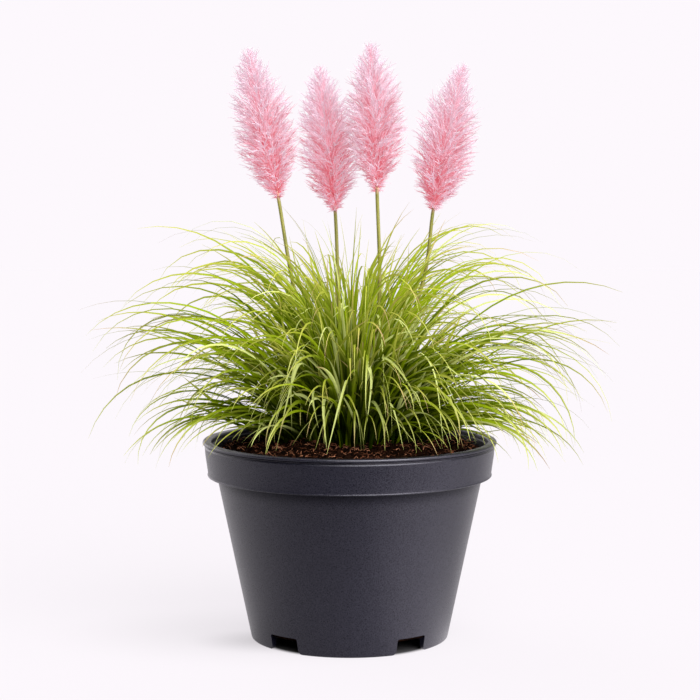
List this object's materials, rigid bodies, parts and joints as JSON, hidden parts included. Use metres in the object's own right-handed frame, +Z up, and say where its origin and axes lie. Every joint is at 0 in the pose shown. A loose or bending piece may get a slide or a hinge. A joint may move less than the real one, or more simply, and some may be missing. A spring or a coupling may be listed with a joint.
{
  "type": "potted pampas grass",
  "caption": "Dwarf pink pampas grass: feathery plumes on upright stems over a fountain of narrow arching leaves, in a round dark nursery pot with a notched foot.",
  "frame": {"origin": "on the ground under the middle of the pot, which is also the middle of the plant's spread", "axes": "+Z up, -Y towards the front of the plant as pictured, +X to its right"},
  "size_m": [0.543, 0.4072, 0.602],
  "materials": {
    "pot": "matte",
    "soil": "matte",
    "stem": "satin",
    "leaf": "satin",
    "plume": "matte"
  },
  "bodies": {
    "root": {"pot": "pot", "soil": "soil", "stem_1": "stem", "stem_2": "stem", "stem_3": "stem", "stem_4": "stem", "plume_1": "plume", "plume_2": "plume", "plume_3": "plume", "plume_4": "plume", "leaf_tuft_01": "leaf", "leaf_tuft_02": "leaf", "leaf_tuft_03": "leaf", "leaf_tuft_04": "leaf", "leaf_tuft_05": "leaf", "leaf_tuft_06": "leaf", "leaf_tuft_07": "leaf", "leaf_tuft_08": "leaf", "leaf_tuft_09": "leaf", "leaf_tuft_10": "leaf", "leaf_tuft_11": "leaf", "leaf_tuft_12": "leaf", "leaf_tuft_13": "leaf", "leaf_tuft_14": "leaf", "leaf_tuft_15": "leaf", "leaf_tuft_16": "leaf", "leaf_tuft_17": "leaf", "leaf_tuft_18": "leaf", "leaf_tuft_19": "leaf", "leaf_tuft_20": "leaf", "leaf_tuft_21": "leaf", "leaf_tuft_22": "leaf", "leaf_tuft_23": "leaf", "leaf_tuft_24": "leaf", "leaf_tuft_25": "leaf", "leaf_tuft_26": "leaf", "leaf_tuft_27": "leaf", "leaf_tuft_28": "leaf", "leaf_tuft_29": "leaf", "leaf_tuft_30": "leaf", "leaf_tuft_31": "leaf", "leaf_tuft_32": "leaf", "leaf_tuft_33": "leaf", "leaf_tuft_34": "leaf", "leaf_tuft_35": "leaf", "leaf_tuft_36": "leaf", "leaf_tuft_37": "leaf", "leaf_tuft_38": "leaf", "leaf_tuft_39": "leaf", "leaf_tuft_40": "leaf", "leaf_tuft_41": "leaf", "leaf_tuft_42": "leaf", "leaf_tuft_43": "leaf", "leaf_tuft_44": "leaf", "leaf_tuft_45": "leaf", "leaf_tuft_46": "leaf"}
  },
  "joints": []
}
